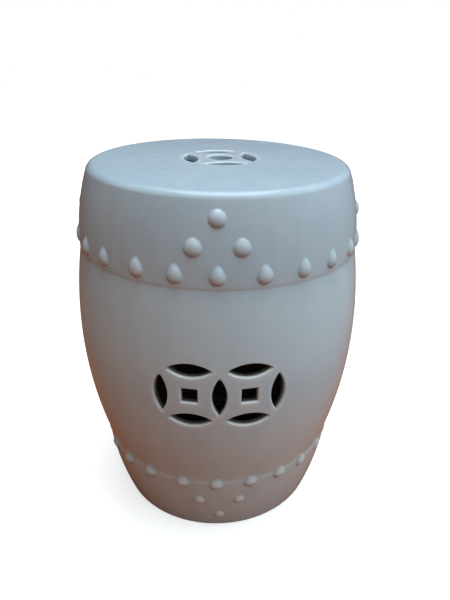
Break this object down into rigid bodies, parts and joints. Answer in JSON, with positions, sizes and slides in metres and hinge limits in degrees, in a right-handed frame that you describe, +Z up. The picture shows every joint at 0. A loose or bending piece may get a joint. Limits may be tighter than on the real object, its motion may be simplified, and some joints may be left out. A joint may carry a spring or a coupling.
{
  "type": "ceramic garden stool",
  "caption": "Hollow drum-shaped glazed ceramic garden stool with pierced coin motifs in seat and wall and bands of small domed bosses, open below.",
  "frame": {"origin": "centre of the base, on the floor", "axes": "+Z up along the drum's axis; the front, with one pierced double coin, faces -Y; +X to the right"},
  "size_m": [0.3634, 0.3636, 0.46],
  "materials": {
    "glaze": "gloss",
    "bare_clay": "matte"
  },
  "bodies": {
    "root": {"seat_slab": "glaze", "shoulder_band": "glaze", "belly_wall": "glaze", "foot_band": "glaze", "upper_row_bosses_front": "glaze", "upper_pair_boss_front_left": "glaze", "upper_pair_boss_front_right": "glaze", "upper_tip_boss_front": "glaze", "upper_row_bosses_right": "glaze", "upper_pair_boss_right_left": "glaze", "upper_pair_boss_right_right": "glaze", "upper_tip_boss_right": "glaze", "upper_row_bosses_back": "glaze", "upper_pair_boss_back_left": "glaze", "upper_pair_boss_back_right": "glaze", "upper_tip_boss_back": "glaze", "upper_row_bosses_left": "glaze", "upper_pair_boss_left_left": "glaze", "upper_pair_boss_left_right": "glaze", "upper_tip_boss_left": "glaze", "lower_row_bosses_front": "glaze", "lower_pair_boss_front_left": "glaze", "lower_pair_boss_front_right": "glaze", "lower_tip_boss_front": "glaze", "lower_row_bosses_right": "glaze", "lower_pair_boss_right_left": "glaze", "lower_pair_boss_right_right": "glaze", "lower_tip_boss_right": "glaze", "lower_row_bosses_back": "glaze", "lower_pair_boss_back_left": "glaze", "lower_pair_boss_back_right": "glaze", "lower_tip_boss_back": "glaze", "lower_row_bosses_left": "glaze", "lower_pair_boss_left_left": "glaze", "lower_pair_boss_left_right": "glaze", "lower_tip_boss_left": "glaze", "standing_ring": "bare_clay"}
  },
  "joints": []
}
